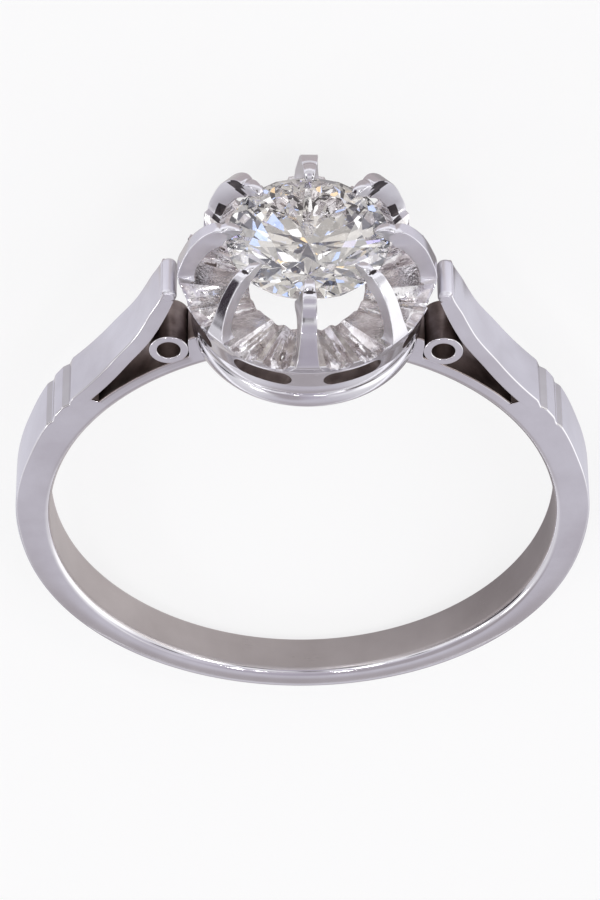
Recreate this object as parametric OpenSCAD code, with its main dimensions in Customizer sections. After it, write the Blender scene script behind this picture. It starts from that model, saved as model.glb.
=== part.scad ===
// Solitaire ring: an eight-claw fluted cup on a pierced basket, a plain band with split shoulders
// and one round brilliant stone. Millimetres.
//
// The ring is drawn upright first, with the finger hole's axis along Y, the finger hole's centre at
// the origin and the stone up. lay_down() then rests it on its back, as it lies on a table.

/* [Band] */
// Diameter of the finger hole
finger_d = 17; // [15:0.1:21]
// Radial thickness of the band at the bottom
band_thickness = 1.08; // [0.9:0.02:1.4]
// How far the outer circle is lifted, which thickens the band towards the shoulders
outer_lift = 0.09; // [0.02:0.01:0.2]
// Width of the band where it is widest
band_width = 1.9; // [1.6:0.05:2.4]
// Radius of the long curve that tapers the band's front and back
taper_radius = 273; // [200:1:400]
// Height above the finger's centre at which the band is widest
widest_z = 1.5; // [0:0.1:4]
// Radius of the dome across the bottom of the band
dome_radius = 2.4; // [1.8:0.1:4]

/* [Shoulders] */
// Angle from the top at which the shoulder leaves the band
shoulder_start_angle = 50; // [46:0.5:56]
// Radius of the shoulder's hollow outer sweep
shoulder_sweep_radius = 14; // [11:0.5:20]
// Thickness of the rail along that sweep
upper_rail = 0.55; // [0.45:0.05:0.7]
// Thickness of the rail next to the finger
lower_rail = 0.55; // [0.45:0.05:0.7]
// Height of the bead's centre above the finger's centre
bead_z = 10.98; // [10.8:0.02:11.2]
// Radius of the bead that ends each shoulder
bead_radius = 0.27; // [0.2:0.01:0.32]
// Angles from the top of the two filed grooves
groove_angles = [52.5, 57.5];
// Depth of the filed grooves
groove_depth = 0.16; // [0.08:0.02:0.3]
// Distance of each tube from the middle of the ring
tube_x = 4.47; // [4.3:0.01:4.6]
// Height of each tube above the finger's centre
tube_z = 8.5; // [8.4:0.01:8.6]
// Outer diameter of the shoulder tubes
tube_d = 1.3; // [1.2:0.02:1.4]
// Diameter of the hole through them
tube_hole_d = 0.76; // [0.5:0.02:0.9]

/* [Head] */
// Height of the gallery ring's lower edge above the finger's centre
gallery_z = 9; // [8.8:0.05:9.2]
// Outer radius of the gallery ring at its lower edge
gallery_radius = 3.7; // [3.5:0.05:3.9]
// Inner radius of the basket
basket_inner_radius = 3.15; // [2.9:0.05:3.3]
// Height of the slots' lower and upper edges
slot_z = [10.32, 10.94];
// Length of each slot
slot_length = 2; // [1.6:0.05:2.2]
// Height of the cup's rim
rim_z = 11.5; // [11.3:0.05:11.7]
// Radius of the cup's rim
rim_radius = 4.2; // [4:0.05:4.4]
// Radius of the hole in the middle of the cup
cup_hole_radius = 2.15; // [1.9:0.05:2.4]
// Scoops cut in the cup between two neighbouring claws
scoops_per_bay = 2; // [1:1:3]
// Radius of each scoop's cutter at the rim
scoop_radius = 0.5; // [0.4:0.02:0.56]

/* [Claws] */
// Number of claws
claw_count = 8; // [6:1:8]
// Width of a claw at its foot
claw_foot_width = 0.78; // [0.6:0.02:0.9]
// Width of a claw at its tip
claw_tip_width = 0.26; // [0.2:0.02:0.4]
// Height of the claws above the finger's centre
claw_top_z = 13.62; // [13.5:0.02:13.9]
// Distance of the claws' tips from the middle of the stone
claw_tip_radius = 2.2; // [2:0.05:2.4]

/* [Stone] */
// Diameter of the stone at its girdle
stone_d = 5.24; // [4.9:0.02:5.3]
// Height of the girdle's middle above the finger's centre
girdle_z = 13; // [12.95:0.01:13.05]
// Width of the table as a share of the diameter
table_share = 0.57; // [0.53:0.01:0.6]
// Slope of the crown's main facets
crown_angle = 31; // [28:0.5:33]
// Slope of the pavilion's main facets
pavilion_angle = 40.8; // [39:0.2:42]
// Gap between the stone and each claw
stone_gap = 0.03; // [0.02:0.01:0.05]

/* [Hidden] */
$fn = 96;
metal_colour = [0.80, 0.79, 0.83];
stone_colour = [0.90, 0.94, 0.97];

// Band and shoulders
finger_r = finger_d / 2;
band_bottom_z = -(finger_r + band_thickness);
outer_r = finger_r + band_thickness + outer_lift;
shoulder_foot = [outer_r * sin(shoulder_start_angle),
                 outer_lift + outer_r * cos(shoulder_start_angle)];
sweep_centre = shoulder_foot
    + shoulder_sweep_radius * [sin(shoulder_start_angle), cos(shoulder_start_angle)];
rail_end_x = 2.95;
window_inner_x = 3.5;
bead_x = 4.47;
shoulder_inner_x = 4.15;
function half_width(z) = band_width / 2 - pow(z - widest_z, 2) / (2 * taper_radius);
// Barrel that domes the bottom of the band: it is lifted, so that the sides stay flat, and clears
// the middle of the band by a hair
dome_lift = 0.1;
dome_clear = 0.005;
dome_apex = outer_r + dome_lift + dome_clear;
dome_centre_z = outer_lift + dome_lift - dome_apex + dome_radius;
bottom_half_width = half_width(band_bottom_z);
band_edge_z = dome_centre_z - sqrt(pow(dome_radius, 2) - pow(bottom_half_width, 2));
// Past the solids, so that a cut comes out clean
past = 0.5;

// Head
claw_step = 360 / claw_count;
gallery_top_radius = 3.8;
groove_z = 9.66;
groove_r = 0.09;
band_foot_radius = 3.95;
cup_inner_z = 11.08;
cup_thickness = 0.38;
scoop_inner_radius = 0.2;
scoop_axis_rise = 0.12;
slot_cut_inner_radius = 3.05;
slot_cut_depth = 1.4;

// Claws, in the plane that holds the head's axis: radius first, then height
claw_sweep_centre = [1.3, 11.38];
claw_sweep_radius = 2.84;
claw_crown_centre = [2.9, 12.2];
claw_crown_radius = claw_top_z - claw_crown_centre[1];
claw_foot_radius = 4.22;
claw_bend_z = 12.6;
claw_foot_stand_off = 0.03;

// Stone
stone_r = stone_d / 2;
girdle_half = 0.06;
table_r = stone_r * table_share;
crown_h = (stone_r - table_r) * tan(crown_angle);
pavilion_h = stone_r * tan(pavilion_angle);
star_r = stone_r * 0.8;
lower_half_r = stone_r * 0.22;

// Rest position: the ring lies on the back of its head and the back edge of its band
rest_band = [half_width(band_edge_z), band_edge_z];
rest_head = [claw_foot_radius, rim_z - 0.05];
rest_tilt = atan((rest_head[0] - rest_band[0]) / (rest_head[1] - rest_band[1]));
rest_drop = rest_band[0] * cos(rest_tilt) - rest_band[1] * sin(rest_tilt);
head_reach = claw_crown_centre[0] * sin(rest_tilt) + claw_crown_centre[1] * cos(rest_tilt)
    + claw_crown_radius;
band_reach = dome_radius - dome_centre_z * cos(rest_tilt);

// Turns a drawing of radius and height into a plate of the given thickness that stands on a radius
module radial_plate(thickness) {
    rotate([90, 0, 0]) linear_extrude(height = thickness, center = true) children();
}

// Repeats its children round the head's axis, starting at the front
module around_head(angles) {
    for (angle = angles) rotate([0, 0, angle - 90]) children();
}

// Front view of the band and both shoulders, before the finger hole and the windows are cut
module ring_outline() {
    difference() {
        union() {
            translate([0, outer_lift]) circle(r = outer_r, $fn = 180);
            for (side = [0, 1])
                mirror([side, 0])
                    polygon([[shoulder_inner_x, 6], [shoulder_inner_x, bead_z],
                             [bead_x + 0.3, bead_z], [shoulder_foot[0] + 0.4, 6.1]]);
        }
        for (side = [-1, 1])
            translate([side * sweep_centre[0], sweep_centre[1]])
                circle(r = shoulder_sweep_radius, $fn = 360);
        // The band stops short of the middle under the head
        translate([-rail_end_x, 0]) square([2 * rail_end_x, 12]);
    }
}

// Front view of the pierced window under one shoulder
module window_outline() {
    difference() {
        translate([window_inner_x, 6]) square([3.5, bead_z - bead_radius - 6]);
        circle(r = finger_r + lower_rail, $fn = 180);
        translate(sweep_centre) circle(r = shoulder_sweep_radius + upper_rail, $fn = 360);
    }
}

// Side view of the band, which tapers to the bottom and a little to the head
module width_outline() {
    heights = [for (z = [-11 : 2.2 : 13.2]) z];
    polygon(concat([for (z = heights) [half_width(z), z]],
                   [for (n = [len(heights) - 1 : -1 : 0]) [-half_width(heights[n]), heights[n]]]));
}

// Barrel that domes the bottom of the band and leaves its sides flat
module dome() {
    translate([0, 0, outer_lift + dome_lift])
        rotate([90, 0, 0])
            rotate_extrude($fn = 180)
                intersection() {
                    translate([dome_apex - dome_radius, 0]) circle(r = dome_radius);
                    translate([0, -band_width]) square([dome_apex + past, 2 * band_width]);
                }
}

// V groove filed across the outside of a shoulder, seen from the front
module filed_groove(angle) {
    rotate([90, 0, 0])
        linear_extrude(height = band_width + 2 * past, center = true)
            translate([(outer_r + 0.02) * sin(angle), outer_lift + (outer_r + 0.02) * cos(angle)])
                rotate(90 - angle)
                    polygon([[-groove_depth, 0], [groove_depth, -groove_depth * 1.6],
                             [groove_depth, groove_depth * 1.6]]);
}

// Drilled tube across one window
module shoulder_tube() {
    translate([tube_x, 0, tube_z])
        rotate([90, 0, 0])
            cylinder(d = tube_d, h = 2 * half_width(tube_z) - 0.04, center = true, $fn = 48);
}

// Rounded bead across the top end of one shoulder
module shoulder_bead() {
    translate([bead_x, 0, bead_z])
        rotate([90, 0, 0])
            cylinder(r = bead_radius, h = 2 * half_width(bead_z) - 0.06, center = true, $fn = 48);
}

// Band and shoulders in one, with the windows cut through
module bare_shank() {
    difference() {
        intersection() {
            rotate([90, 0, 0])
                linear_extrude(height = band_width + 2 * past, center = true)
                    difference() {
                        ring_outline();
                        for (side = [0, 1]) mirror([side, 0]) window_outline();
                    }
            rotate([90, 0, 90]) linear_extrude(height = 24, center = true) width_outline();
            union() {
                dome();
                translate([-12, -band_width, 0]) cube([24, 2 * band_width, 12]);
            }
        }
        rotate([90, 0, 0]) cylinder(r = finger_r, h = band_width + 2 * past, center = true, $fn = 180);
        for (side = [-1, 1], angle = groove_angles) filed_groove(side * angle);
    }
}

module shank_and_shoulders() {
    difference() {
        union() {
            bare_shank();
            for (side = [0, 1]) mirror([side, 0, 0]) {
                shoulder_tube();
                shoulder_bead();
            }
        }
        for (side = [-1, 1])
            translate([side * tube_x, 0, tube_z])
                rotate([90, 0, 0])
                    cylinder(d = tube_hole_d, h = band_width + 2 * past, center = true, $fn = 36);
    }
}

// Section of the head from its axis outwards: gallery ring, slotted wall and cup
module head_section() {
    difference() {
        polygon([
            [basket_inner_radius, gallery_z],
            [gallery_radius, gallery_z],
            [gallery_top_radius, slot_z[0]],
            [band_foot_radius, slot_z[1]],
            [rim_radius, rim_z],
            [cup_hole_radius, cup_inner_z],
            [cup_hole_radius, cup_inner_z - cup_thickness],
            [basket_inner_radius, cup_inner_z - cup_thickness + 0.1],
        ]);
        translate([gallery_radius + 0.09, groove_z]) circle(r = groove_r, $fn = 24);
    }
}

// Slot through the basket's wall, with round ends
module basket_slot() {
    slot_h = slot_z[1] - slot_z[0];
    straight = slot_length - slot_h;
    translate([slot_cut_inner_radius, 0, (slot_z[0] + slot_z[1]) / 2])
        rotate([90, 0, 90])
            linear_extrude(height = slot_cut_depth) {
                square([straight, slot_h], center = true);
                for (end = [-1, 1])
                    translate([end * straight / 2, 0]) circle(d = slot_h, $fn = 32);
            }
}

// Cutter of one bright-cut scoop, a cone that widens to the rim
module scoop() {
    start = [cup_hole_radius - 0.3, cup_inner_z + 0.06];
    end = [rim_radius + 0.25, rim_z + scoop_axis_rise];
    run = end - start;
    translate([start[0], 0, start[1]])
        rotate([0, 90 - atan2(run[1], run[0]), 0])
            cylinder(r1 = scoop_inner_radius, r2 = scoop_radius, h = norm(run), $fn = 32);
}

module head_shell() {
    bays = [for (bay = [0 : claw_count - 1]) claw_step * bay];
    difference() {
        rotate_extrude($fn = 128) head_section();
        around_head([for (bay = bays) bay + claw_step / 2]) basket_slot();
        around_head([for (bay = bays, n = [1 : scoops_per_bay])
                     bay + claw_step * n / (scoops_per_bay + 1)]) scoop();
    }
}

// Side view of one claw: radius and height
module claw_outline() {
    crown_z = girdle_z + girdle_half;
    // Height of the crown's main facet at a radius, raised by the gap
    function seat_z(r) = crown_z + (stone_r - r) * tan(crown_angle) + 1.2 * stone_gap;
    seat_r = stone_r + stone_gap;
    difference() {
        intersection() {
            union() {
                translate(claw_sweep_centre) circle(r = claw_sweep_radius, $fn = 180);
                translate([3, slot_z[0]]) square([1.1, rim_z - slot_z[0]]);
            }
            union() {
                translate(claw_crown_centre) circle(r = claw_crown_radius);
                translate([0, slot_z[0]]) square([5, claw_bend_z - slot_z[0]]);
            }
            polygon([[3.4, slot_z[1] - 0.3], [band_foot_radius - 0.07, slot_z[1] - 0.3],
                     [band_foot_radius + claw_foot_stand_off, slot_z[1]],
                     [claw_foot_radius, rim_z - 0.05], [claw_foot_radius, claw_top_z + 0.1],
                     [claw_tip_radius, claw_top_z + 0.1], [claw_tip_radius, girdle_z],
                     [3.2, girdle_z - 0.4]]);
        }
        polygon([[claw_tip_radius - 0.1, seat_z(claw_tip_radius - 0.1)], [seat_r, seat_z(seat_r)],
                 [seat_r, girdle_z - girdle_half - stone_gap], [3.03, 12.6], [3.46, 11.9],
                 [3.62, 11.2], [3.3, 10], [claw_tip_radius - 0.1, 10]]);
    }
}

// Front view of one claw: its width narrows upwards
module claw_front() {
    foot = claw_foot_width / 2;
    waist = 0.28;
    polygon([[-foot, 10.5], [foot, 10.5], [foot, 11.1], [waist, 12.4], [waist - 0.02, 14],
             [-waist + 0.02, 14], [-waist, 12.4], [-foot, 11.1]]);
}

// Plan of one claw: its width narrows to the tip
module claw_plan() {
    tip = claw_tip_width / 2;
    polygon([[claw_tip_radius - 0.1, -tip], [3.2, -0.27], [4.4, -0.45],
             [4.4, 0.45], [3.2, 0.27], [claw_tip_radius - 0.1, tip]]);
}

module claw() {
    intersection() {
        radial_plate(1) claw_outline();
        rotate([90, 0, 90]) linear_extrude(height = 5) claw_front();
        translate([0, 0, 10]) linear_extrude(height = 4) claw_plan();
    }
}

// Lays the upright ring on its back, lowest point on the table and centred over it
module lay_down() {
    translate([0, (head_reach - band_reach) / 2, rest_drop])
        rotate([90 - rest_tilt, 0, 0])
            rotate([0, 0, 180])
                children();
}

module ring_mount() {
    color(metal_colour)
        lay_down() {
            shank_and_shoulders();
            head_shell();
            around_head([for (n = [0 : claw_count - 1]) claw_step * n]) claw();
        }
}

// Round brilliant: eight-sided table, stars, kites, upper and lower halves, girdle and culet
module diamond() {
    function turned(r, angle, z) = [r * cos(angle), r * sin(angle), z];
    step = 45;
    top_z = girdle_z + girdle_half;
    bottom_z = girdle_z - girdle_half;
    eight = [0 : 7];
    // Kites stay flat, so the star tips and the lower tips take their height from them
    star_z = top_z + (stone_r - star_r * cos(step / 2)) * tan(crown_angle);
    lower_z = bottom_z - (stone_r - lower_half_r * cos(step / 2)) * tan(pavilion_angle);
    points = concat(
        [for (k = eight) turned(table_r, k * step, top_z + crown_h)],
        [for (k = eight) turned(star_r, (k + 0.5) * step, star_z)],
        [for (k = [0 : 15]) turned(stone_r, k * step / 2, top_z)],
        [for (k = [0 : 15]) turned(stone_r, k * step / 2, bottom_z)],
        [for (k = eight) turned(lower_half_r, (k + 0.5) * step, lower_z)],
        [[0, 0, bottom_z - pavilion_h]]);
    star = 8;
    upper = 16;
    lower = 32;
    tip = 48;
    culet = 56;
    function next(k) = (k + 1) % 8;
    function before(k) = (k + 7) % 8;
    faces = concat(
        [[for (k = [7 : -1 : 0]) k]],
        [for (k = eight) [k, next(k), star + k]],
        [for (k = eight) [k, star + k, upper + 2 * k, star + before(k)]],
        [for (k = eight) [star + k, upper + 2 * k + 1, upper + 2 * k]],
        [for (k = eight) [star + k, upper + 2 * next(k), upper + 2 * k + 1]],
        [for (k = [0 : 15]) [upper + k, upper + (k + 1) % 16, lower + (k + 1) % 16, lower + k]],
        [for (k = eight) [tip + k, lower + 2 * k, lower + 2 * k + 1]],
        [for (k = eight) [tip + k, lower + 2 * k + 1, lower + 2 * next(k)]],
        [for (k = eight) [culet, tip + before(k), lower + 2 * k, tip + k]]);
    color(stone_colour) lay_down() polyhedron(points = points, faces = faces);
}

ring_mount();
diamond();
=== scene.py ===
"""A polished white-metal solitaire ring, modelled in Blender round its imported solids.

Every piece is drawn upright first, in millimetres: the finger hole's axis runs along Y, the finger
hole's centre is the origin, the stone is up and the viewer is on the side of -Y. RingSizes.rest_matrix
then lays the ring down on its back, in metres, where the solids lie.
"""

from __future__ import annotations

import logging
import math
import random
from contextlib import contextmanager
from dataclasses import dataclass
from enum import Enum
from typing import Callable, Iterator, Sequence

import bmesh
import bpy
from mathutils import Matrix, Vector, noise

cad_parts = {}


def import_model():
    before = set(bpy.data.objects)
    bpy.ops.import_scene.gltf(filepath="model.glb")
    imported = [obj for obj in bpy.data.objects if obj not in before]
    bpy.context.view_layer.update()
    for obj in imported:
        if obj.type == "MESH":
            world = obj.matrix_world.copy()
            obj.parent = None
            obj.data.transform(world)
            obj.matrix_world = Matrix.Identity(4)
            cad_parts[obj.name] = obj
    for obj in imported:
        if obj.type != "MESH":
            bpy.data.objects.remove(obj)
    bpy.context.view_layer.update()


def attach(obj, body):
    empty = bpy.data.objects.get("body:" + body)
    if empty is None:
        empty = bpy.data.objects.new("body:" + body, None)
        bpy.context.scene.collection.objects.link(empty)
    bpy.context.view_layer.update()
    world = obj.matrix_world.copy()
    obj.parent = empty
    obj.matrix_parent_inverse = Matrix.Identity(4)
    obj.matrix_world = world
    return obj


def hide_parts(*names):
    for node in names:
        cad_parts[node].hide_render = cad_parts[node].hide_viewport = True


log = logging.getLogger("ring")

MM = 0.001
Colour = tuple[float, float, float]
Span = tuple[float, float]
Piece = bpy.types.Object
Node = bpy.types.Node
Socket = bpy.types.NodeSocket
Test = Callable[[Vector, Vector], bool]


# Sizes that the pieces share


@dataclass(frozen=True)
class RingSizes:
    """Sizes that several pieces share, in millimetres, with the ring upright."""

    finger_radius: float = 8.5
    band_thickness: float = 1.08
    outer_lift: float = 0.09
    band_width: float = 1.9
    taper_radius: float = 273.0
    widest_z: float = 1.5
    dome_radius: float = 2.4
    dome_lift: float = 0.1
    dome_clear: float = 0.005
    claw_count: int = 8
    rest_claw: Span = (4.22, 11.45)
    claw_crown: Span = (2.9, 12.2)
    claw_top_z: float = 13.62

    @property
    def outer_radius(self) -> float:
        """Returns the radius of the band's outer circle, which is lifted by outer_lift."""
        return self.finger_radius + self.band_thickness + self.outer_lift

    @property
    def dome_apex(self) -> float:
        """Returns the radius of the dome's barrel at the middle of the band."""
        return self.outer_radius + self.dome_lift + self.dome_clear

    def half_width(self, z: float) -> float:
        """Gives half the band's width at a height above the finger hole's centre."""
        return self.band_width / 2 - (z - self.widest_z) ** 2 / (2 * self.taper_radius)

    def rest_matrix(self) -> Matrix:
        """Works out how the upright ring lies on the table.

        Returns:
            The turn, shift and scale from upright millimetres to resting metres.
        """
        centre_z = self.outer_lift + self.dome_lift - self.dome_apex + self.dome_radius
        bottom = self.half_width(-(self.finger_radius + self.band_thickness))
        edge_z = centre_z - math.sqrt(self.dome_radius**2 - bottom**2)
        edge_y = self.half_width(edge_z)
        tilt = math.atan((self.rest_claw[0] - edge_y) / (self.rest_claw[1] - edge_z))
        sine, cosine = math.sin(tilt), math.cos(tilt)
        drop = edge_y * cosine - edge_z * sine
        crown_r, crown_z = self.claw_crown
        head_reach = crown_r * sine + crown_z * cosine + self.claw_top_z - crown_z
        band_reach = self.dome_radius - centre_z * cosine
        shift = (head_reach - band_reach) / 2
        rows = ((-1, 0, 0, 0), (0, -sine, -cosine, shift), (0, -cosine, sine, drop), (0, 0, 0, 1))
        return Matrix.Scale(MM, 4) @ Matrix(rows)


SIZES = RingSizes()
BAY = 360 / SIZES.claw_count

# How near a face lies to the surface that it belongs to, and how squarely an end face looks out
NEAR = 0.05
SQUARE = 0.9


# Drawing


def between(start: float, end: float, share: float) -> float:
    """Gives the value at a share of the way from start to end."""
    return start + (end - start) * share


def within(span: Span, value: float) -> bool:
    """Tells whether a value lies inside a span."""
    return span[0] < value < span[1]


def smoothstep(low: float, high: float, value: float) -> float:
    """Eases from 0 at low to 1 at high, where low may also be the larger of the two."""
    share = min(1.0, max(0.0, (value - low) / (high - low)))
    return share * share * (3 - 2 * share)


def round_finger(point: Vector) -> tuple[float, float]:
    """Gives a point's distance from the finger's axis and its angle from the top in degrees."""
    return math.hypot(point.x, point.z), abs(math.degrees(math.atan2(point.x, point.z)))


def arc(middle: Vector, radius: float, start: float, sweep: float, steps: int) -> list[Vector]:
    """Draws an arc in the plane of Y and Z.

    Args:
        middle: The arc's centre.
        radius: The arc's radius.
        start: First angle in degrees, counted from Y towards Z.
        sweep: Angle from the first point to the last.
        steps: The number of steps from the first point to the last.

    Returns:
        The arc's points.
    """
    angles = [math.radians(start + sweep * n / steps) for n in range(steps + 1)]
    return [middle + Vector((0, radius * math.cos(a), radius * math.sin(a))) for a in angles]


def curve_through(rows: Sequence[Sequence[float]], cuts: int) -> list[list[float]]:
    """Puts a smooth curve through rows of numbers.

    Args:
        rows: The values at each station.
        cuts: The number of steps between two stations.

    Returns:
        The rows with new ones between them.
    """
    smooth = []
    for n in range(len(rows) - 1):
        around = [rows[min(max(k, 0), len(rows) - 1)] for k in range(n - 1, n + 3)]
        for t in (cut / cuts for cut in range(cuts)):
            smooth.append([])
            for a, b, c, d in zip(*around):
                bend = (2 * a - 5 * b + 4 * c - d) * t * t + (3 * b - a - 3 * c + d) * t**3
                smooth[-1].append(0.5 * (2 * b + (c - a) * t + bend))
    return smooth + [list(rows[-1])]


# Modelling by operators


class Pick(Enum):
    """What a selection in edit mode holds."""

    VERTS = "VERT"
    EDGES = "EDGE"
    FACES = "FACE"


def only(piece: Piece) -> None:
    """Makes a piece the one selected and active object.

    Args:
        piece: The piece.
    """
    bpy.ops.object.select_all(action="DESELECT")
    piece.select_set(True)
    bpy.context.view_layer.objects.active = piece


@contextmanager
def editing(piece: Piece) -> Iterator[None]:
    """Opens a piece in edit mode with all of it selected, and closes it again.

    Args:
        piece: The mesh object to edit.

    Yields:
        Nothing: operators inside the block act on the piece.
    """
    only(piece)
    bpy.ops.object.mode_set(mode="EDIT")
    bpy.ops.mesh.select_mode(type=Pick.VERTS.value)
    bpy.ops.mesh.select_all(action="SELECT")
    yield
    bpy.ops.object.mode_set(mode="OBJECT")


def select(piece: Piece, pick: Pick, wanted: Test) -> None:
    """Selects edges or faces of a piece in edit mode, and deselects the rest.

    Args:
        piece: The piece, open in edit mode.
        pick: Whether edges or faces are selected.
        wanted: Test of the middle and the normal of each.
    """
    bpy.ops.mesh.select_mode(type=pick.value)
    bpy.ops.mesh.select_all(action="DESELECT")
    mesh = bmesh.from_edit_mesh(piece.data)
    for part in mesh.edges if pick is Pick.EDGES else mesh.faces:
        middle = sum((v.co for v in part.verts), Vector()) / len(part.verts)
        normal = part.verts[0].normal if pick is Pick.EDGES else part.normal
        if wanted(middle, normal):
            part.select_set(True)
    mesh.select_flush_mode()
    bmesh.update_edit_mesh(piece.data)


def face_outwards() -> None:
    """Turns all faces of the mesh in edit mode outwards."""
    bpy.ops.mesh.select_all(action="SELECT")
    bpy.ops.mesh.normals_make_consistent(inside=False)


def outline(name: str, points: Sequence[Vector], filled: bool = False) -> Piece:
    """Adds a closed outline as a circle whose points are then put in their places.

    Args:
        name: The new piece's name.
        points: The outline's corners in order.
        filled: Whether a face fills it.

    Returns:
        The new piece.
    """
    bpy.ops.object.select_all(action="DESELECT")
    fill = "NGON" if filled else "NOTHING"
    bpy.ops.mesh.primitive_circle_add(vertices=len(points), radius=1, fill_type=fill)
    piece = bpy.context.object
    piece.name = name
    for vertex, spot in zip(piece.data.vertices, points):
        vertex.co = spot
    return piece


def cylinder(name: str, sides: int, radius: float, spot: Vector, depth: float, turn: float) -> Piece:
    """Adds a cylinder whose place is in its mesh.

    Args:
        name: The new piece's name.
        sides: The number of its sides.
        radius: Its radius.
        spot: Its middle.
        depth: Its length.
        turn: How far its axis is turned from Z about X, in radians.

    Returns:
        The new piece.
    """
    bpy.ops.object.select_all(action="DESELECT")
    bpy.ops.mesh.primitive_cylinder_add(
        vertices=sides, radius=radius, depth=depth, location=spot, rotation=(turn, 0, 0)
    )
    piece = bpy.context.object
    piece.name = name
    bpy.ops.object.transform_apply(location=True, rotation=True, scale=True)
    return piece


def tidy(piece: Piece, distance: float = 1e-4) -> None:
    """Merges a piece's doubled points and turns its faces outwards.

    Args:
        piece: The piece to tidy.
        distance: How close two points are when they count as one.
    """
    with editing(piece):
        bpy.ops.mesh.remove_doubles(threshold=distance)
        face_outwards()


def shape(piece: Piece, move: Callable[[Vector], Vector]) -> None:
    """Moves every point of a piece.

    Args:
        piece: The piece to shape.
        move: Gives a point its new place.
    """
    for vertex in piece.data.vertices:
        vertex.co = move(vertex.co.copy())
    piece.data.update()


def apply_modifier(piece: Piece, kind: str, **settings: object) -> None:
    """Adds a modifier to a piece, sets it up and applies it.

    Args:
        piece: The piece to change.
        kind: Blender's name for the modifier.
        settings: The modifier's own values.
    """
    only(piece)
    modifier = piece.modifiers.new(kind.title(), kind)
    for key, value in settings.items():
        setattr(modifier, key, value)
    bpy.ops.object.modifier_apply(modifier=modifier.name)


def polish(piece: Piece, angle: float = 32.0) -> None:
    """Shades a piece smooth, with its flat faces kept flat.

    Args:
        piece: The piece to shade.
        angle: The angle between two faces, in degrees, past which their edge stays sharp.
    """
    only(piece)
    bpy.ops.object.shade_smooth_by_angle(angle=math.radians(angle))
    apply_modifier(piece, "WEIGHTED_NORMAL", mode="FACE_AREA", keep_sharp=True)


def duplicate(piece: Piece, name: str) -> Piece:
    """Copies a piece with a mesh of its own.

    Args:
        piece: The piece to copy.
        name: The copy's name.

    Returns:
        The copy.
    """
    only(piece)
    bpy.ops.object.duplicate(linked=False)
    bpy.context.object.name = name
    return bpy.context.object


def place(piece: Piece, matrix: Matrix) -> None:
    """Moves, turns or mirrors a piece and leaves its object at the origin.

    Args:
        piece: The piece, with its object at the origin.
        matrix: The move, turn or mirroring.
    """
    only(piece)
    piece.matrix_world = matrix
    bpy.ops.object.transform_apply(location=True, rotation=True, scale=True)
    if matrix.determinant() < 0:
        with editing(piece):
            face_outwards()


def extrude_through(piece: Piece, stations: Sequence[Sequence[Vector]]) -> None:
    """Extrudes a filled outline on through the stations of a blade, one after the other.

    Args:
        piece: A filled outline, whose points lie on the first station.
        stations: The outline's points at each station, the first one included.
    """
    with editing(piece):
        bpy.ops.mesh.select_mode(type=Pick.FACES.value)
        bpy.ops.mesh.select_all(action="SELECT")
        for before, after in zip(stations, stations[1:]):
            bpy.ops.mesh.extrude_region()
            mesh = bmesh.from_edit_mesh(piece.data)
            for vertex in [v for v in mesh.verts if v.select]:
                gaps = [(vertex.co - corner).length for corner in before]
                vertex.co = after[gaps.index(min(gaps))]
            bmesh.update_edit_mesh(piece.data)
        face_outwards()


def paint(piece: Piece, index: int, wanted: Test) -> None:
    """Gives some faces of a piece another material slot.

    Args:
        piece: The piece to paint.
        index: The slot's index.
        wanted: Test of a face's middle and normal.
    """
    for face in piece.data.polygons:
        if wanted(face.center, face.normal):
            face.material_index = index


# Finishes


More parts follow.
